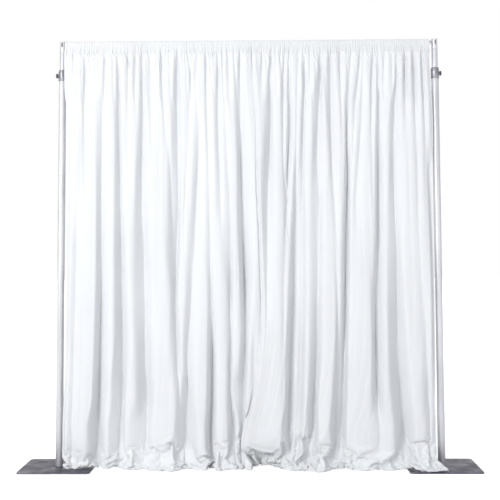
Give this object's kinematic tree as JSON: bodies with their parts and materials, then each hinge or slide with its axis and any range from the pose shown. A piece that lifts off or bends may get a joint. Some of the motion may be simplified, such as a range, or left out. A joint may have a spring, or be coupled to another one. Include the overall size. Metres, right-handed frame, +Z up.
{
  "type": "pipe and drape backdrop",
  "caption": "Freestanding backdrop: gathered white drapes on a telescopic crossbar between height-adjustable tube uprights on flat steel bases.",
  "frame": {"origin": "on the floor midway between the uprights, in the plane of their axes", "axes": "+X from the left upright to the right one seen from the front, +Y away from the viewer towards the drapes' back, +Z up"},
  "size_m": [2.566, 0.356, 2.438],
  "materials": {
    "tube": "satin, drawn tube",
    "base_plate": "dull grey rolled plate with wear marks",
    "zinc_steel": "dull zinc plating",
    "bush": "dark nylon",
    "knob": "dark moulded plastic",
    "drape": "white woven polyester, gathered"
  },
  "bodies": {
    "left_base": {"base_plate_left": "base_plate", "base_pin_left": "zinc_steel", "pin_screw_left": "zinc_steel"},
    "left_upright": {"lower_upright_left": "tube", "guide_bush_left": "bush", "lock_collar_left": "zinc_steel"},
    "left_lock": {"lock_stem_left": "zinc_steel", "lock_knob_left": "knob"},
    "left_mast": {"upper_upright_left": "tube", "mast_glide_left": "bush", "crown_left": "tube"},
    "crossbar": {"crossbar_outer_tube": "tube", "crossbar_bush": "bush", "crossbar_hook_left": "zinc_steel", "hook_rivet_left": "zinc_steel", "drape_left": "drape", "drape_right": "drape"},
    "crossbar_extension": {"crossbar_inner_tube": "tube", "crossbar_glide": "bush", "crossbar_hook_right": "zinc_steel", "hook_rivet_right": "zinc_steel"},
    "right_mast": {"upper_upright_right": "tube", "mast_glide_right": "bush", "crown_right": "tube"},
    "right_upright": {"lower_upright_right": "tube", "guide_bush_right": "bush", "lock_collar_right": "zinc_steel"},
    "right_lock": {"lock_stem_right": "zinc_steel", "lock_knob_right": "knob"},
    "right_base": {"base_plate_right": "base_plate", "base_pin_right": "zinc_steel", "pin_screw_right": "zinc_steel"}
  },
  "joints": [
    {"name": "frame_lift", "type": "slide", "parent": "left_base", "child": "left_upright", "axis": [0, 0, 1], "range_m": [0, 0.16]},
    {"name": "left_height", "type": "slide", "parent": "left_upright", "child": "left_mast", "axis": [0, 0, 1], "range_m": [0, 0.61]},
    {"name": "bar_lift", "type": "slide", "parent": "left_mast", "child": "crossbar", "axis": [0, 0, 1], "range_m": [0, 0.065]},
    {"name": "crossbar_width", "type": "slide", "parent": "crossbar", "child": "crossbar_extension", "axis": [1, 0, 0], "range_m": [-0.331, 0.888], "deforming": ["drape_left", "drape_right"]},
    {"name": "right_bar_unhook", "type": "slide", "parent": "crossbar_extension", "child": "right_mast", "axis": [0, 0, 1], "range_m": [-0.065, 0]},
    {"name": "right_height", "type": "slide", "parent": "right_mast", "child": "right_upright", "axis": [0, 0, 1], "range_m": [-0.61, 0]},
    {"name": "right_base_lift", "type": "slide", "parent": "right_upright", "child": "right_base", "axis": [0, 0, 1], "range_m": [-0.16, 0]},
    {"name": "left_lock_turn", "type": "hinge", "parent": "left_upright", "child": "left_lock", "pos_m": [-1.08, 0, 2.2372], "axis": [-1, 0, 0], "range_deg": [0, 720]},
    {"name": "right_lock_turn", "type": "hinge", "parent": "right_upright", "child": "right_lock", "pos_m": [1.08, 0, 2.2372], "axis": [1, 0, 0], "range_deg": [0, 720]}
  ],
  "couplings": [
    {"joint": "right_bar_unhook", "follows": "bar_lift", "ratio": -1},
    {"joint": "right_height", "follows": "left_height", "ratio": -1},
    {"joint": "right_base_lift", "follows": "frame_lift", "ratio": -1}
  ]
}
